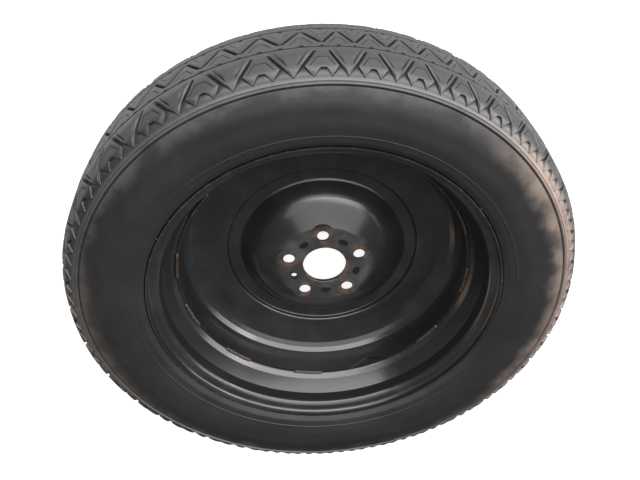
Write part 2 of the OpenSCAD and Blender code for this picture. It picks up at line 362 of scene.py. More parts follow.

# Painted shade: deep black of a band on the sidewalls, of the groove floors and sunk lines, and of the pockets in the
# disc
SIDEWALL_SHADE = (0.004, 0.004, 0.004, 1)
GROOVE_SHADE = (0.002, 0.002, 0.002, 1)
POCKET_SHADE = (0.004, 0.0038, 0.0036, 1)

# Floor: how far it lies under the tyre, in mm, its half size in metres, and its lift towards white
FLOOR_GAP = 0.6
FLOOR_REACH = 4
FLOOR_LIFT = 0.85
AMBIENT = 0.16


def settings():
    """The settings of the open scene, with lengths in millimetres and angles in degrees."""
    held = bpy.context.scene.spare_wheel
    scale = {"LENGTH": 1000.0, "ROTATION": math.degrees(1.0)}
    values = {}
    for name in SpareWheelSettings.__annotations__:
        value, unit = getattr(held, name), held.bl_rna.properties[name].unit
        values[name] = value * scale[unit] if unit in scale else value
    return SimpleNamespace(**values)


# Section of the tyre


def rounded(line, steps):
    """A line through corners [r, d, radius], where an arc of that radius replaces each corner.

    The arc touches both sides: it starts the radius times tan(half the turn) before the corner.
    """
    points = [line[0][:2]]
    for a, b, c in zip(line[:-2], line[1:-1], line[2:]):
        p, q, s = (np.array(v[:2], float) for v in (a, b, c))
        u, w = (q - p) / np.linalg.norm(q - p), (s - q) / np.linalg.norm(s - q)
        turn = math.atan2(u[0] * w[1] - u[1] * w[0], u @ w)
        if b[2] == 0 or abs(turn) < 1e-4:
            points.append(q)
            continue
        side = math.copysign(1.0, turn)
        start = q - u * b[2] * math.tan(abs(turn) / 2)
        centre = start + np.array([-u[1], u[0]]) * side * b[2]
        first = math.atan2(start[1] - centre[1], start[0] - centre[0])
        arc = first + turn * np.linspace(0, 1, steps + 1)
        points.extend(centre + b[2] * np.stack([np.cos(arc), np.sin(arc)], 1))
    points.append(line[-1][:2])
    return np.array(points, float)


def tyre_section(s):
    """The outside of half the tyre, from the crown to the bead.

    It gives each point's distance along the section, the point, and its outward normal.
    """
    top, hw = s.tyre_radius, s.half_width
    side = top - s.flange_radius
    widest = s.flange_radius + side * s.widest_share
    line = [
        (top, 0, 0),
        (top - 1.8, hw - 31.5, 20),
        (top - side * 0.1, hw - 9, side * 0.13),
        (top - side * 0.25, hw - 4, side * 0.18),
        (widest + side * 0.055, hw + 0.6, side * 0.55),
        (widest - side * 0.185, hw - 1, side * 0.55),
        (s.flange_radius + 8, s.lip_top + 4, 8),
        (s.flange_radius + 0.5, s.lip_top - 1.4, 1.5),
        (s.flange_radius + 0.5, s.bead_inner + 6, 0),
    ]
    coarse = rounded(line, 12)
    along = np.concatenate([[0], np.cumsum(np.hypot(*np.diff(coarse, axis=0).T))])
    fine = np.linspace(0, along[-1], 800)
    points = np.stack([np.interp(fine, along, coarse[:, 0]), np.interp(fine, along, coarse[:, 1])], 1)
    slope = np.gradient(points, fine, axis=0)
    normal = np.stack([slope[:, 1], -slope[:, 0]], 1)
    return fine, points, normal / np.linalg.norm(normal, axis=1, keepdims=True)


def on_section(section, along, lift):
    """Points of the section at signed distances along it, lifted along the normal.

    It gives their radius and their height from the centre plane.
    """
    fine, points, normal = section
    size, side = np.abs(along), np.where(along < 0, -1.0, 1.0)
    r = np.interp(size, fine, points[:, 0]) + lift * np.interp(size, fine, normal[:, 0])
    d = np.interp(size, fine, points[:, 1]) + lift * np.interp(size, fine, normal[:, 1])
    return r, d * side


def turned(r, z, angle):
    """Points at a radius, height and clockwise angle from +Y, in metres."""
    return np.stack([r * np.sin(angle), r * np.cos(angle), z], -1) * MM


# Pattern of the tread, over two block pairs: x runs round the tread and v across it, both in millimetres


def ribbon(line, widths):
    """The outline of a band of given widths along a line.

    Each point steps half a width to both sides, square to the line.
    """
    line, half = np.array(line, float), np.array(widths, float)[:, None] / 2
    step = np.diff(line, axis=0)
    step /= np.linalg.norm(step, axis=1, keepdims=True)
    square = np.stack([-step[:, 1], step[:, 0]], 1)
    before, after = np.vstack([square[:1], square]), np.vstack([square, square[-1:]])
    out = (before + after) / (1 + (before * after).sum(1, keepdims=True))
    return np.vstack([line + out * half, (line - out * half)[::-1]])


def grown(outline, by):
    """The outline moved out by a distance.

    Each corner goes to where its two moved sides meet, with sharp corners held back near it.
    """
    turn = np.roll(outline, -1, 0) - outline
    area = (outline[:, 0] * np.roll(outline[:, 1], -1) - outline[:, 1] * np.roll(outline[:, 0], -1)).sum()
    square = np.stack([turn[:, 1], -turn[:, 0]], 1) * math.copysign(1.0, area)
    square /= np.linalg.norm(square, axis=1, keepdims=True)
    before = np.roll(square, 1, 0)
    both = (before + square) / np.maximum(1 + (before * square).sum(1, keepdims=True), 0.45)
    return outline + both * by


def tread_outlines():
    """Outlines of the grooves and of the thin sipes of two block pairs, with those of the pairs beside them.

    Places along the tread are shares of a pair for the shoulder blocks and of a wave for the zigzag.
    """
    grooves, sipes = [], []
    wave = PAIR * 2 / 3
    zigzag = []
    for i in range(-4, 12):
        top = ZIGZAG_HEIGHT if i % 2 == 0 else -ZIGZAG_HEIGHT
        zigzag += [(wave * i / 2 - ZIGZAG_FLAT, top), (wave * i / 2 + ZIGZAG_FLAT, top)]
    grooves.append(ribbon(zigzag, [ZIGZAG_WIDTH] * len(zigzag)))
    for side in (-1, 1):
        for i in range(-3, 7):
            near = wave * (i + (0.0 if side > 0 else 0.5))
            start, end, middle = near - TOOTH, near + wave + TOOTH, near + wave / 2
            x = [start, near + TOOTH, near + TOOTH_FOOT, middle - TOOTH_FOOT, middle - TOOTH]
            x += [middle + TOOTH, middle + TOOTH_FOOT, near + wave - TOOTH_FOOT, near + wave - TOOTH]
            x += [end, end, middle, start]
            grooves.append(np.stack([x, np.array(RING_GROOVE) * side], 1))
            sipes.append(ribbon([(middle + wave * x, v * side) for x, v in CENTRE_ARCH], [SIPE_WIDTH] * 4))
        for i in range(-2, 5):
            for hand in (-1, 1):
                grooves.append(np.array([(PAIR * (i + hand * x), v * side) for x, v in SHOULDER_SLOT]))
                sipe = [(PAIR * (i + hand * x), v * side) for x, v in SHOULDER_SIPE]
                sipes.append(ribbon(sipe, [SIPE_WIDTH] * 2))
            grooves.append(np.array([(PAIR * (i + x), v * side) for x, v in SHOULDER_NOTCH]))
            sipes.append(ribbon([(PAIR * (i + x), v * side) for x, v in SHOULDER_ARCH], [SIPE_WIDTH] * 4))
        band = [(-PAIR, BLOCK_FOOT), (PAIR * 3, BLOCK_FOOT), (PAIR * 3, PATTERN_END), (-PAIR, PATTERN_END)]
        grooves.append(np.array([(x, v * side) for x, v in band]))
    return grooves, sipes


def clipped(outline, axis, limit, keep):
    """The part of an outline on one side of a line: a side that crosses the line gets a corner there."""
    out = []
    for a, b in zip(outline, np.roll(outline, -1, 0)):
        ina, inb = keep * (a[axis] - limit) >= 0, keep * (b[axis] - limit) >= 0
        if ina:
            out.append(a)
        if ina != inb:
            c = a + (b - a) * (limit - a[axis]) / (b[axis] - a[axis])
            c[axis] = limit
            out.append(c)
    return np.array(out)


def inside_distance(points, outline):
    """Distance of each point to an outline, negative inside: nearest side, with the sign by counting crossings."""
    a, b = outline, np.roll(outline, -1, 0)
    side = b - a
    away = points[:, None] - a
    part = np.clip((away * side).sum(-1) / (side * side).sum(-1), 0, 1)
    size = np.linalg.norm(away - part[..., None] * side, axis=-1).min(1)
    above = (a[:, 1] > points[:, 1:2]) != (b[:, 1] > points[:, 1:2])
    rise = np.where(np.abs(side[:, 1]) < 1e-9, 1e-9, side[:, 1])
    crossing = points[:, 0:1] < side[:, 0] * (points[:, 1:2] - a[:, 1]) / rise + a[:, 0]
    return np.where((above & crossing).sum(1) % 2 == 1, -size, size)


def tread_template(s):
    """One stretch of tread as flat points with a lift, and its faces.

    Each groove gives three outlines: floor, top edge and rounded edge. A constrained triangulation
    joins them with a net of plain points, and the lift falls from the edge to the floor by each
    point's distance inside the nearest groove. It fades out where the blocks end at the shoulder.
    """
    width, edge = PAIR * 2, s.tread_edge
    grooves, sipes = tread_outlines()
    rings = [grown(g, by) for g in grooves for by in (0.4, 0.0, -0.6)]
    rings += [grown(g, by) for g in sipes for by in (0.0, -0.36)]
    points, lines = [], []
    for ring in rings:
        for axis, limit, keep in ((0, 0.0, 1), (0, width, -1), (1, -edge, 1), (1, edge, -1)):
            if len(ring):
                ring = clipped(ring, axis, limit, keep)
        if len(ring) > 2:
            first = len(points)
            points.extend(ring)
            lines.extend((first + i, first + (i + 1) % len(ring)) for i in range(len(ring)))
    rows = np.append(np.arange(0.0, 44.0, 5.0), np.arange(44.0, edge - 1.0, 2.6))
    rows = np.concatenate([-rows[:0:-1], rows, [-edge, edge]])
    columns = np.linspace(0, width, 23)
    net = np.stack(np.meshgrid(columns, np.sort(rows)), -1).reshape(-1, 2)
    near = np.min([np.abs(inside_distance(net, r)) for r in rings], axis=0)
    on_border = (net[:, 0] < 0.01) | (net[:, 0] > width - 0.01) | (np.abs(net[:, 1]) > edge - 0.01)
    net = net[(near > 0.8) | on_border]
    frame_start = len(points)
    points.extend([(0, -edge), (width, -edge), (width, edge), (0, edge)])
    lines.extend((frame_start + i, frame_start + (i + 1) % 4) for i in range(4))
    points.extend(net)
    made = delaunay_2d_cdt([Vector(p) for p in points], lines, [], 0, 1e-4, False)
    flat = np.array([tuple(p) for p in made[0]])
    faces = np.array([f for f in made[2] if len(f) == 3])
    deep = np.min([inside_distance(flat, g) for g in grooves], axis=0)
    thin = np.min([inside_distance(flat, g) for g in sipes], axis=0)
    lift = np.interp(deep, [-0.58, -0.02, 0.02, 0.38], [-s.groove_depth, -0.3, -0.3, 0.0])
    lift = np.minimum(lift, np.interp(thin, [-0.34, 0.0], [-SIPE_DEPTH, 0.0]))
    lift *= np.interp(np.abs(flat[:, 1]), [56.0, 66.0, 74.0, 77.0, edge], [1.0, 0.6, 0.3, 0.24, 0.0])
    return flat, lift, faces


def mesh_object(name, points, faces, material, smooth=35.0, depth=None):
    """A new mesh object at the origin, smooth except at edges sharper than an angle in degrees.

    Depth is each point's own place in a groove, 0 at the surface and 1 at the floor, kept for the material, which
    paints the grooves darker by it as painted shade.
    """
    mesh = bpy.data.meshes.new(name)
    mesh.vertices.add(len(points))
    mesh.vertices.foreach_set("co", np.asarray(points, np.float32).ravel())
    faces = np.asarray(faces, np.int32)
    mesh.loops.add(faces.size)
    mesh.loops.foreach_set("vertex_index", faces.ravel())
    mesh.polygons.add(len(faces))
    mesh.polygons.foreach_set("loop_start", np.arange(len(faces), dtype=np.int32) * faces.shape[1])
    mesh.polygons.foreach_set("loop_total", np.full(len(faces), faces.shape[1], np.int32))
    mesh.update(calc_edges=True)
    mesh.validate()
    if depth is not None:
        mesh.attributes.new("groove", "FLOAT", "POINT").data.foreach_set("value", np.asarray(depth, np.float32))
    welded = bmesh.new()
    welded.from_mesh(mesh)
    bmesh.ops.remove_doubles(welded, verts=welded.verts, dist=0.02 * MM)
    welded.to_mesh(mesh)
    welded.free()
    mesh.shade_smooth()
    mesh.set_sharp_from_angle(angle=math.radians(smooth))
    mesh.materials.append(material)
    obj = bpy.data.objects.new(name, mesh)
    bpy.context.scene.collection.objects.link(obj)
    return obj


def build_tread(s, material):
    """Lays copies of the tread template round the tyre, with long pitches on one side and short ones on the other.

    A copy starts at the angle where the last one ended. Its x becomes an angle by its pitch, its v a
    place on the tyre's section, and its lift goes along the section's normal.
    """
    flat, lift, faces = tread_template(s)
    section = tyre_section(s)
    short_pitch = (360.0 - s.long_repeats * s.long_pitch) / s.short_repeats
    pitch = np.array([short_pitch] * s.short_repeats + [s.long_pitch] * s.long_repeats)
    start = s.first_block + np.concatenate([[0], np.cumsum(pitch)[:-1]])
    angle = np.radians(start[:, None] + pitch[:, None] * flat[:, 0] / (PAIR * 2))
    r, d = on_section(section, flat[:, 1], lift)
    points = turned(np.broadcast_to(r, angle.shape), np.broadcast_to(s.centre_height + d, angle.shape), angle)
    shifts = np.arange(len(pitch))[:, None, None] * len(flat)
    every = (faces[None] + shifts).reshape(-1, 3)[:, ::-1]
    # Depth in the grooves, which the material paints darker as painted shade
    depth = np.broadcast_to(np.clip(-lift / s.groove_depth, 0, 1), angle.shape).ravel()
    return mesh_object("tyre_tread", points.reshape(-1, 3), every, material, 32.0, depth)


def sidewall_relief(along, r):
    """Height of the sidewall's raised and sunk lines: a sum of flat-topped bumps, each exp(-(distance / half width)^6).

    The lines by the tread are placed along the section, and the one by the rim on its radius.
    """
    lift = sum(height * np.exp(-(((along - middle) / half) ** 6)) for middle, height, half in SHOULDER_LINES)
    return lift + sum(height * np.exp(-(((r - middle) / half) ** 6)) for middle, height, half in RIM_LINES)


def build_sidewalls(s, material):
    """Turns both sidewalls round the axis.

    The section runs from the tread's edge to under the rim's lip, with its raised and sunk lines.
    """
    section = tyre_section(s)
    along = np.linspace(s.tread_edge, section[0][-1], 84)
    radii = [line[0] for line in RIM_LINES]
    close = [np.interp(-r, -section[1][:, 0], section[0]) + np.linspace(-0.9, 0.9, 9) for r in radii]
    along = np.unique(np.concatenate([along, np.linspace(s.tread_edge, SHOULDER_LINES_END, 30)] + close))
    along = along[(along >= s.tread_edge) & (along <= section[0][-1])]
    r0, _ = on_section(section, along, 0.0)
    r, d = on_section(section, along, sidewall_relief(along, r0))
    turns = SIDEWALL_TURNS
    angle = np.linspace(0, 2 * math.pi, turns, endpoint=False)[:, None]
    # Depth of the sunk lines, which the material paints darker as painted shade
    depth = np.tile(np.clip(-sidewall_relief(along, r0), 0, 1), turns * 2)
    points, faces = [], []
    for side in (1, -1):
        z = np.broadcast_to(s.centre_height + side * d, (turns, len(d)))
        points.append(turned(np.broadcast_to(r, z.shape), z, angle + 0 * z).reshape(-1, 3))
        index = np.arange(turns * len(d)).reshape(turns, len(d))
        across = np.roll(index, -1, 0)
        quads = np.stack([index[:, :-1], across[:, :-1], across[:, 1:], index[:, 1:]], -1).reshape(-1, 4)
        faces.append(quads[:, ::-side] + (0 if side > 0 else turns * len(d)))
    return mesh_object("tyre_sidewalls", np.vstack(points), np.vstack(faces), material, 60.0, depth)


def build_weld_beads(s, material):
    """Weld beads: along each arc a quarter-round section whose radius swells and shrinks with the ripples of the weld.

    The radius is the leg times the sum of 0.9, 0.08 times a wave with its crests leaning back, and 0.05
    times a slow sine. It falls to a rounded point at both ends by the square root of the distance there.
    """
    steps, turns = 64, 9
    part = np.linspace(0, 1, steps)[:, None]
    corner = np.linspace(-0.08, 1.08, turns)[None, :] * math.pi / 2
    points, faces = [], []
    for number, middle in enumerate(WELD_ANGLES):
        wave = np.sin(part * (34 + number % 3) + 0.7 * np.cos(corner) + number)
        ends = np.sqrt(np.clip(np.minimum(part, 1 - part) / 0.06, 0, 1))
        leg = s.weld_leg * ends * (0.9 + 0.08 * wave + 0.05 * np.sin(part * 11 + number * 2))
        angle = np.radians(middle + WELD_ARC * (part - 0.5)) + 0 * corner
        r = s.weld_radius - leg * np.cos(corner)
        z = s.weld_height + leg * np.sin(corner)
        index = np.arange(steps * turns).reshape(steps, turns) + number * steps * turns
        quads = np.stack([index[:-1, :-1], index[1:, :-1], index[1:, 1:], index[:-1, 1:]], -1)
        points.append(turned(r, z, angle).reshape(-1, 3))
        faces.append(quads.reshape(-1, 4)[:, ::-1])
    return mesh_object("weld_beads", np.vstack(points), np.vstack(faces), material, 70.0)


# Finishes


def add(tree, kind, inputs=None, **values):
    """A node with its values set. An input given as a socket is joined, and any other input is its value."""
    made = tree.nodes.new(kind)
    for name, value in values.items():
        setattr(made, name, value)
    for name, value in (inputs or {}).items():
        if isinstance(value, bpy.types.NodeSocket):
            tree.links.new(value, made.inputs[name])
        else:
            made.inputs[name].default_value = value
    return made


def maths(tree, operation, *inputs, clamp=False):
    """The result of a Math node."""
    made = add(tree, "ShaderNodeMath", dict(enumerate(inputs)), operation=operation, use_clamp=clamp)
    return made.outputs[0]


def ramp(tree, value, low, high, to_low=0.0, to_high=1.0):
    """A smooth step of a value from one level to another."""
    made = add(
        tree,
        "ShaderNodeMapRange",
        {"Value": value, "From Min": low, "From Max": high, "To Min": to_low, "To Max": to_high},
        interpolation_type="SMOOTHSTEP",
    )
    return made.outputs["Result"]


def mixed(tree, factor, a, b):
    """Two colours mixed by a factor."""
    made = add(tree, "ShaderNodeMix", data_type="RGBA")
    for socket, value in ((made.inputs[0], factor), (made.inputs[6], a), (made.inputs[7], b)):
        if isinstance(value, bpy.types.NodeSocket):
            tree.links.new(value, socket)
        else:
            socket.default_value = value
    return made.outputs[2]


def noise(tree, position, scale, detail=4.0, roughness=0.55):
    """The value of a noise texture, in bumps for each metre."""
    made = add(
        tree,
        "ShaderNodeTexNoise",
        {"Vector": position, "Scale": scale, "Detail": detail, "Roughness": roughness},
    )
    return made.outputs["Fac"]


def group(name, inputs, outputs):
    """An empty shader group with its sockets, each a name and a type, and its input and output nodes."""
    tree = bpy.data.node_groups.new(name, "ShaderNodeTree")
    for label, kind in inputs:
        tree.interface.new_socket(label, in_out="INPUT", socket_type=kind)
    for label, kind in outputs:
        tree.interface.new_socket(label, in_out="OUTPUT", socket_type=kind)
    return tree, tree.nodes.new("NodeGroupInput").outputs, tree.nodes.new("NodeGroupOutput").inputs


def polar_group():
    """Group: radius, height, angle, and distance from the nearest bolt hole and pocket, in mm and radians."""
    tree, _, out = group(
        "Wheel Position",
        [],
        [("Position", "NodeSocketVector")]
        + [(label, "NodeSocketFloat") for label in ("Radius", "Height", "Bolt Distance", "Pocket Distance", "Angle")],
    )
    place = add(tree, "ShaderNodeTexCoord").outputs["Object"]
    parts = add(tree, "ShaderNodeSeparateXYZ", {0: place}).outputs
    x, y = maths(tree, "MULTIPLY", parts[0], 1000.0), maths(tree, "MULTIPLY", parts[1], 1000.0)
    radius = maths(tree, "SQRT", maths(tree, "ADD", maths(tree, "MULTIPLY", x, x), maths(tree, "MULTIPLY", y, y)))
    angle = maths(tree, "ARCTAN2", x, y)
    step = 2 * math.pi / LUG_COUNT
    away = []
    for first, ring, squeeze in ((LUG_START, BOLT_RADIUS, 1.0), (LUG_START + 180.0 / LUG_COUNT, POCKET_RADIUS, 0.65)):
        turn = maths(tree, "WRAP", maths(tree, "SUBTRACT", angle, math.radians(first)), step / 2, -step / 2)
        across = maths(tree, "SUBTRACT", maths(tree, "MULTIPLY", radius, maths(tree, "COSINE", turn)), ring)
        round_it = maths(tree, "MULTIPLY", maths(tree, "MULTIPLY", radius, maths(tree, "SINE", turn)), squeeze)
        both = maths(tree, "ADD", maths(tree, "MULTIPLY", across, across), maths(tree, "MULTIPLY", round_it, round_it))
        away.append(maths(tree, "SQRT", both))
    for socket, value in zip(out, (place, radius, maths(tree, "MULTIPLY", parts[2], 1000.0), *away, angle)):
        tree.links.new(value, socket)
    return tree


def dust_group():
    """Group: how much dust lies on a spot. It gathers on faces that look up, in patches, with fine specks over it."""
    tree, given, out = group("Settled Dust", [("Amount", "NodeSocketFloat")], [("Dust", "NodeSocketFloat")])
    place = add(tree, "ShaderNodeTexCoord").outputs["Object"]
    up = add(tree, "ShaderNodeSeparateXYZ", {0: add(tree, "ShaderNodeNewGeometry").outputs["Normal"]}).outputs[2]
    patches = ramp(tree, noise(tree, place, 22.0, 6.0, 0.62), 0.4, 0.66)
    specks = ramp(tree, noise(tree, place, 900.0, 2.0, 0.7), 0.56, 0.7)
    facing = ramp(tree, up, 0.2, 0.95)
    lying = maths(tree, "MULTIPLY", facing, maths(tree, "ADD", maths(tree, "MULTIPLY", patches, 0.6), 0.4))
    level = maths(tree, "ADD", lying, maths(tree, "MULTIPLY", specks, 0.22))
    dust = maths(tree, "MULTIPLY", level, given["Amount"], clamp=True)
    tree.links.new(dust, out["Dust"])
    return tree


def rust_group():
    """Group: breaks a mask's edge into rust blotches, with their colour."""
    tree, given, out = group(
        "Rust Blotches",
        [("Mask", "NodeSocketFloat"), ("Colour", "NodeSocketColor")],
        [("Rust", "NodeSocketFloat"), ("Colour", "NodeSocketColor")],
    )
    place = add(tree, "ShaderNodeTexCoord").outputs["Object"]
    wide = noise(tree, place, 130.0, 8.0, 0.68)
    level = maths(tree, "SUBTRACT", given["Mask"], maths(tree, "SUBTRACT", 1.0, wide))
    tree.links.new(ramp(tree, level, -0.1, 0.24), out["Rust"])
    tint = ramp(tree, noise(tree, place, 420.0, 4.0), 0.35, 0.7)
    tree.links.new(mixed(tree, tint, given["Colour"], (0.03, 0.017, 0.012, 1)), out["Colour"])
    return tree


def use(tree, name, inputs=None):
    """A shader group placed in a material, with its inputs."""
    made = tree.nodes.new("ShaderNodeGroup")
    made.node_tree = bpy.data.node_groups[name]
    for key, value in (inputs or {}).items():
        if isinstance(value, bpy.types.NodeSocket):
            tree.links.new(value, made.inputs[key])
        else:
            made.inputs[key].default_value = value
    return made.outputs


def new_material(name):
    """A material with an empty tree, its Principled surface joined to its output."""
    made = bpy.data.materials.new(name)
    made.use_nodes = True
    tree = made.node_tree
    tree.nodes.clear()
    surface = tree.nodes.new("ShaderNodeBsdfPrincipled")
    output = tree.nodes.new("ShaderNodeOutputMaterial")
    tree.links.new(surface.outputs[0], output.inputs[0])
    return made, tree, surface.inputs


def fill(tree, surface, values):
    """Sets the surface's inputs, each from a socket or a value."""
    for name, value in values.items():
        if isinstance(value, bpy.types.NodeSocket):
            tree.links.new(value, surface[name])
        else:
            surface[name].default_value = value


def bumped(tree, height, strength, distance):
    """The normal of a height, in metres."""
    return add(tree, "ShaderNodeBump", {"Height": height, "Strength": strength, "Distance": distance}).outputs[0]


def four(colour):
    """A colour with full alpha."""
    return (*colour, 1.0)


def rubber_material(s):
    """Tyre rubber: dark and finely grained, greyer on the worn faces of the tread.

    Both sidewalls have a band of painted shade with a ragged edge, and a painted sheen in the tone of dust
    outside it, under the tread. Brown mud with a painted sheen of the side light lies on one part of the
    inboard sidewall alone. Grooves and sunk lines are painted darker by their depth, as painted shade.
    """
    made, tree, surface = new_material("Look of tyre rubber")
    where = use(tree, "Wheel Position")
    dust = use(tree, "Settled Dust", {"Amount": 0.02})
    worn = ramp(tree, where["Radius"], s.tyre_radius - 14, s.tyre_radius - 3)
    broad = noise(tree, where["Position"], 14.0, 5.0)
    greyed = maths(tree, "MULTIPLY", worn, ramp(tree, broad, 0.3, 0.7, 0.4, 0.85))
    tone = mixed(tree, greyed, four(s.rubber_colour), four(s.worn_colour))
    tone = mixed(tree, dust["Dust"], tone, four(s.dust_and_sheen_colour))
    patchy = noise(tree, where["Position"], 26.0, 6.0, 0.62)
    ragged = maths(tree, "ADD", where["Radius"], ramp(tree, patchy, 0.3, 0.7, -7.0, 7.0))
    # Painted shade: a dark band round both sidewalls, with a ragged edge
    shade_band = maths(tree, "MULTIPLY", ramp(tree, ragged, 294.0, 308.0, 0.0, 0.6), ramp(tree, ragged, 328.0, 312.0))
    tone = mixed(tree, shade_band, tone, SIDEWALL_SHADE)
    # Painted sheen: a band in the tone of dust on both sidewalls under the tread
    sheen_film = ramp(tree, ragged, 312.0, 332.0, 0.0, 0.14)
    sheen_film = maths(tree, "MULTIPLY", sheen_film, ramp(tree, where["Radius"], 337.0, 331.0))
    tone = mixed(tree, sheen_film, tone, four(s.dust_and_sheen_colour))
    # Brown mud and a painted sheen of the side light on the +X part of the inboard sidewall
    band = maths(tree, "MULTIPLY", ramp(tree, ragged, 298.0, 334.0), ramp(tree, where["Radius"], 346.0, 338.0))
    span = maths(tree, "MULTIPLY", ramp(tree, where["Angle"], 0.45, 1.0), ramp(tree, where["Angle"], 2.6, 1.7))
    cloudy = ramp(tree, noise(tree, where["Position"], 17.0, 6.0, 0.6), 0.3, 0.62, 0.5, 1.0)
    inboard = ramp(tree, where["Height"], s.centre_height, s.centre_height + 20)
    mud_with_sheen = maths(tree, "MULTIPLY", maths(tree, "MULTIPLY", band, span), maths(tree, "MULTIPLY", cloudy, inboard))
    tone = mixed(tree, maths(tree, "MULTIPLY", mud_with_sheen, 0.9), tone, four(s.mud_and_sheen_colour))
    # Painted shade: the grooves and sunk lines darker by their depth
    groove = add(tree, "ShaderNodeAttribute", attribute_name="groove").outputs["Fac"]
    tone = mixed(tree, ramp(tree, groove, 0.4, 0.9, 0.0, 0.95), tone, GROOVE_SHADE)
    grain = noise(tree, where["Position"], 1500.0, 3.0)
    rough = maths(tree, "ADD", ramp(tree, broad, 0.3, 0.7, 0.42, 0.52), ramp(tree, groove, 0.4, 0.9, 0.0, 0.5))
    fill(
        tree,
        surface,
        {
            "Base Color": tone,
            "Roughness": rough,
            "Specular IOR Level": 0.65,
            "Normal": bumped(tree, grain, 0.35, 0.0003),
        },
    )
    return made


def paint_material(s, name, on_disc):
    """Glossy black paint over pressed steel, with orange peel and dust.

    Rust comes where the steel is bare: round the bolts and bore and by the seam on the disc, and by
    the seam and the lip on the rim. The relief pockets of the disc are painted darker, as painted shade.
    """
    made, tree, surface = new_material(name)
    where = use(tree, "Wheel Position")
    radius, height, bolt = where["Radius"], where["Height"], where["Bolt Distance"]
    if on_disc:
        round_bolts = ramp(tree, bolt, 22.0, 9.0, 0.0, 0.88)
        round_bore = ramp(tree, radius, 42.0, 32.0, 0.0, 0.68)
        seam = ramp(tree, height, 12.0, 19.0, 0.0, 0.34)
        mask = maths(tree, "MAXIMUM", maths(tree, "MAXIMUM", round_bolts, round_bore), seam)
        uneven = ramp(tree, noise(tree, where["Position"], 46.0, 3.0), 0.38, 0.62, 0.25, 1.2)
        mask = maths(tree, "MULTIPLY", mask, uneven)
        dusty = ramp(tree, radius, 78.0, 62.0, 0.05, 0.2)
    else:
        seam = maths(tree, "MULTIPLY", ramp(tree, height, 17.0, 20.0), ramp(tree, height, 25.0, 21.0, 0.0, 0.38))
        lip = maths(tree, "MULTIPLY", ramp(tree, height, 77.0, 81.0, 0.0, 0.44), ramp(tree, radius, 240.0, 244.0))
        mask = maths(tree, "MAXIMUM", seam, lip)
        dusty = 0.06
    rust = use(tree, "Rust Blotches", {"Mask": mask, "Colour": four(s.rust_colour)})
    dust = use(tree, "Settled Dust", {"Amount": dusty})
    colour = mixed(tree, dust["Dust"], four(s.paint_colour), four(s.dust_and_sheen_colour))
    # Painted shade: the relief pockets darker towards their middle
    colour = mixed(tree, ramp(tree, where["Pocket Distance"], 6.4, 3.6, 0.0, 0.85), colour, POCKET_SHADE)
    colour = mixed(tree, rust["Rust"], colour, rust["Colour"])
    dull = maths(tree, "MAXIMUM", rust["Rust"], maths(tree, "MULTIPLY", dust["Dust"], 0.8), clamp=True)
    peel = noise(tree, where["Position"], 240.0, 2.0)
    flakes = noise(tree, where["Position"], 1300.0, 4.0)
    flaked = maths(tree, "MULTIPLY", maths(tree, "MULTIPLY", rust["Rust"], flakes), 2.0)
    lumps = maths(tree, "ADD", maths(tree, "MULTIPLY", peel, 0.5), flaked)
    fill(
        tree,
        surface,
        {
            "Base Color": colour,
            "Roughness": ramp(tree, dull, 0.0, 1.0, 0.24, 0.85),
            "Specular IOR Level": 0.5,
            "Coat Weight": ramp(tree, dull, 0.0, 0.6, 0.3, 0.0),
            "Coat Roughness": 0.12,
            "Normal": bumped(tree, lumps, 0.14, 0.0006),
        },
    )
    return made


def weld_material(s):
    """Weld metal painted over black, rusty in its ripples."""
    made, tree, surface = new_material("Look of weld metal")
    where = use(tree, "Wheel Position")
    rust = use(tree, "Rust Blotches", {"Mask": 0.52, "Colour": four(s.rust_colour)})
    colour = mixed(tree, rust["Rust"], (0.03, 0.026, 0.023, 1), rust["Colour"])
    rough = noise(tree, where["Position"], 900.0, 4.0)
    fill(
        tree,
        surface,
        {
            "Base Color": colour,
            "Metallic": 0.15,
            "Roughness": ramp(tree, rust["Rust"], 0.0, 1.0, 0.38, 0.75),
            "Normal": bumped(tree, rough, 0.3, 0.0005),
        },
    )
    return made


def small_material(name, colour, roughness, metallic=0.0):
    """A finish of the valve's small parts: one colour that varies slightly, with a fine grain."""
    made, tree, surface = new_material(name)
    place = add(tree, "ShaderNodeTexCoord").outputs["Object"]
    tone = ramp(tree, noise(tree, place, 300.0, 3.0), 0.3, 0.7)
    darker = tuple(c * 0.7 for c in colour)
    fill(
        tree,
        surface,
        {
            "Base Color": mixed(tree, tone, four(darker), four(colour)),
            "Roughness": ramp(tree, tone, 0.0, 1.0, roughness, roughness + 0.12),
            "Metallic": metallic,
            "Normal": bumped(tree, noise(tree, place, 2500.0, 2.0), 0.15, 0.0002),
        },
    )
    return made


def finish_node(node, finish):
    """Gives a CAD node its material."""
    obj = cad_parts[node]
    if not obj.material_slots:
        obj.data.materials.append(finish)
    for place in obj.material_slots:
        place.link = "OBJECT"
        place.material = finish


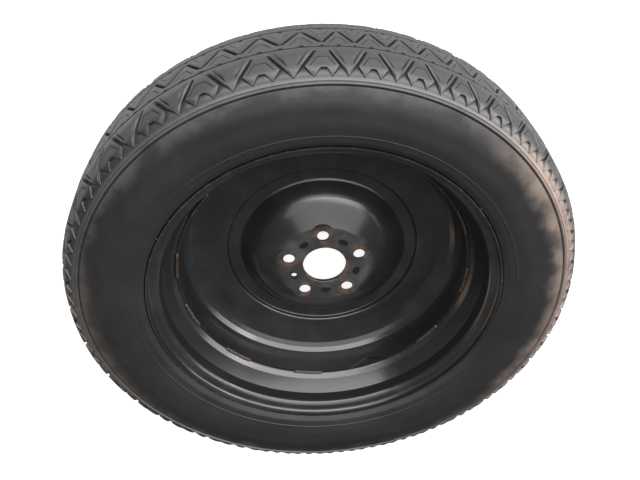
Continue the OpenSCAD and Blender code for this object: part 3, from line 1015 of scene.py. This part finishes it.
class SPARE_OT_finishes(bpy.types.Operator):
    """Make the shared shader groups and give every CAD node its material"""

    bl_idname = "spare.finishes"
    bl_label = "Finishes"

    def execute(self, context):
        s = settings()
        polar_group()
        dust_group()
        rust_group()
        finish_node("tyre", rubber_material(s))
        finish_node("rim", paint_material(s, "Look of rim paint", False))
        finish_node("wheel_disc", paint_material(s, "Look of disc paint", True))
        finish_node("disc_welds", weld_material(s))
        rubber = small_material("Look of valve rubber", (0.02, 0.02, 0.021), 0.5)
        brass = small_material("Look of valve brass", (0.55, 0.4, 0.17), 0.3, 1.0)
        seal = small_material("Look of core seal", (0.25, 0.02, 0.015), 0.55)
        steel = small_material("Look of spring steel", (0.5, 0.5, 0.51), 0.3, 1.0)
        plastic = small_material("Look of cap plastic", (0.016, 0.016, 0.017), 0.38)
        finish_node("valve_body", rubber)
        finish_node("valve_cap", plastic)
        finish_node("core_spring", steel)
        for node in ("valve_stem", "core_barrel", "core_pin"):
            finish_node(node, brass)
        for node in ("core_gasket", "core_cup", "cap_seal"):
            finish_node(node, seal)
        return {"FINISHED"}


class SPARE_OT_tyre(bpy.types.Operator):
    """Make the tyre's tread and sidewalls"""

    bl_idname = "spare.tyre"
    bl_label = "Tyre"

    def execute(self, context):
        s = settings()
        rubber = bpy.data.materials["Look of tyre rubber"]
        for piece in (build_tread(s, rubber), build_sidewalls(s, rubber)):
            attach(piece, "wheel")
            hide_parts("tyre")
        return {"FINISHED"}


class SPARE_OT_welds(bpy.types.Operator):
    """Make the rippled weld beads between disc and rim"""

    bl_idname = "spare.welds"
    bl_label = "Weld beads"

    def execute(self, context):
        piece = build_weld_beads(settings(), bpy.data.materials["Look of weld metal"])
        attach(piece, "wheel")
        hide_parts("disc_welds")
        return {"FINISHED"}


class SPARE_OT_stage(bpy.types.Operator):
    """Make the floor, the lights and the camera, and set the render up"""

    bl_idname = "spare.stage"
    bl_label = "Stage"

    def execute(self, context):
        s = settings()
        scene = context.scene
        low = (s.centre_height - s.half_width - FLOOR_GAP) * MM
        self.floor(s, low)
        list(self.lights(s, low))
        self.camera()
        world = bpy.data.worlds.new("Studio")
        scene.world = world
        world.use_nodes = True
        tree = world.node_tree
        tree.nodes.clear()
        seen = add(tree, "ShaderNodeLightPath").outputs["Is Camera Ray"]
        dim = add(tree, "ShaderNodeBackground", {"Color": (0.9, 0.93, 1.0, 1), "Strength": AMBIENT})
        white = add(tree, "ShaderNodeBackground", {"Color": (1, 1, 1, 1), "Strength": 1.0})
        mix = add(tree, "ShaderNodeMixShader", {0: seen, 1: dim.outputs[0], 2: white.outputs[0]})
        add(tree, "ShaderNodeOutputWorld", {0: mix.outputs[0]})
        scene.render.engine = "CYCLES"
        scene.render.resolution_x, scene.render.resolution_y = 640, 480
        scene.render.resolution_percentage = 100
        scene.view_settings.view_transform = "Standard"
        scene.view_settings.look = "None"
        scene.view_settings.exposure = 0.0
        scene.view_settings.gamma = 1.0
        return {"FINISHED"}

    def floor(self, s, low):
        """A pale floor under the tyre, lifted towards white for the camera.

        It is clear from below and for shadow rays, so the underside can be seen and lit.
        """
        mesh = bpy.data.meshes.new("floor")
        corners = [(x * FLOOR_REACH, y * FLOOR_REACH, low) for x, y in ((-1, -1), (1, -1), (1, 1), (-1, 1))]
        mesh.from_pydata(corners, [], [(0, 1, 2, 3)])
        obj = bpy.data.objects.new("floor", mesh)
        bpy.context.scene.collection.objects.link(obj)
        made, tree, surface = new_material("floor_sweep")
        fill(tree, surface, {"Base Color": (s.floor_grey,) * 3 + (1,), "Roughness": 0.9, "Specular IOR Level": 0.1})
        path = add(tree, "ShaderNodeLightPath").outputs
        lifted = maths(tree, "MULTIPLY", path["Is Camera Ray"], FLOOR_LIFT)
        fill(tree, surface, {"Emission Color": (1, 1, 1, 1), "Emission Strength": lifted})
        behind = add(tree, "ShaderNodeNewGeometry").outputs["Backfacing"]
        below = maths(tree, "MAXIMUM", behind, path["Is Shadow Ray"])
        body = tree.nodes["Principled BSDF"].outputs[0]
        clear = tree.nodes.new("ShaderNodeBsdfTransparent").outputs[0]
        both = add(tree, "ShaderNodeMixShader", {0: below, 1: body, 2: clear})
        tree.links.new(both.outputs[0], tree.nodes["Material Output"].inputs[0])
        mesh.materials.append(made)
        return obj

    def lights(self, s, low):
        """A wide key softbox on the camera's side, one overhead, and panels on the +X side, below and opposite."""
        made = []
        white = (1.0, 1.0, 1.0)
        wheel = (0.0, 0.0, low + 0.06)
        for name, place, aim, size, power, tint in (
            ("key", (0.324, 1.348, low + 0.63), wheel, (3.77, 1.37), s.key_strength, (0.97, 0.965, 1.0)),
            ("overhead", (0.1, 0.78, low + 1.34), wheel, (2.5, 1.3), s.overhead_strength, white),
            ("side", (2.7, 0.8, low + 0.95), (0.0, 0.0, low + 0.6), (1.8, 1.8), s.side_strength, (1.0, 0.96, 0.92)),
            ("under", (-0.8, -0.5, low - 1.5), (0.0, 0.0, 0.0), (2.4, 2.4), s.under_strength, white),
            ("warm_fill", (-1.5, -1.3, low + 0.5), (0.0, 0.0, 0.0), (1.2, 0.8), s.fill_strength, (1.0, 0.72, 0.5)),
        ):
            data = bpy.data.lights.new(name, "AREA")
            data.shape = "RECTANGLE"
            data.size, data.size_y = size
            data.energy = power
            data.color = tint
            obj = bpy.data.objects.new(name, data)
            obj.location = place
            obj.visible_camera = False
            obj.rotation_euler = (Vector(place) - Vector(aim)).to_track_quat("Z", "Y").to_euler()
            bpy.context.scene.collection.objects.link(obj)
            made.append(obj)
        return made

    def camera(self):
        """The camera of the photo, from its right, up and backward directions."""
        data = bpy.data.cameras.new("camera")
        data.sensor_width = 36.0
        data.lens = 39.2
        data.shift_x = -0.0564
        data.shift_y = 0.0145
        data.clip_start = 0.05
        obj = bpy.data.objects.new("camera", data)
        right = Vector((0.9926, 0.0745, 0.0952))
        up = Vector((0.0, 0.7876, -0.6162))
        back = Vector((-0.1209, 0.6116, 0.7818))
        turn = Matrix((right, up, back)).transposed().to_4x4()
        obj.matrix_world = Matrix.Translation((-0.0783, 0.6509, 0.7939)) @ turn
        bpy.context.scene.collection.objects.link(obj)
        bpy.context.scene.camera = obj
        return obj


class SPARE_PT_panel(bpy.types.Panel):
    """Sidebar panel with the settings and the operators"""

    bl_idname = "SPARE_PT_panel"
    bl_label = "Spare Wheel"
    bl_space_type = "VIEW_3D"
    bl_region_type = "UI"
    bl_category = "Spare Wheel"

    def draw(self, context):
        column = self.layout.column()
        for name in SpareWheelSettings.__annotations__:
            column.prop(context.scene.spare_wheel, name)
        for operator in (SPARE_OT_finishes, SPARE_OT_tyre, SPARE_OT_welds, SPARE_OT_stage):
            column.operator(operator.bl_idname)


CLASSES = (
    SpareWheelSettings,
    SPARE_OT_finishes,
    SPARE_OT_tyre,
    SPARE_OT_welds,
    SPARE_OT_stage,
    SPARE_PT_panel,
)


def register():
    """Adds the classes and the scene's settings."""
    for item in CLASSES:
        bpy.utils.register_class(item)
    bpy.types.Scene.spare_wheel = PointerProperty(type=SpareWheelSettings)


def unregister():
    """Takes the settings and the classes away."""
    del bpy.types.Scene.spare_wheel
    for item in reversed(CLASSES):
        bpy.utils.unregister_class(item)


def main():
    """Builds the whole scene."""
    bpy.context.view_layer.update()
    register()
    bpy.ops.spare.finishes()
    bpy.ops.spare.tyre()
    bpy.ops.spare.welds()
    bpy.ops.spare.stage()


if __name__ == "__main__":
    main()
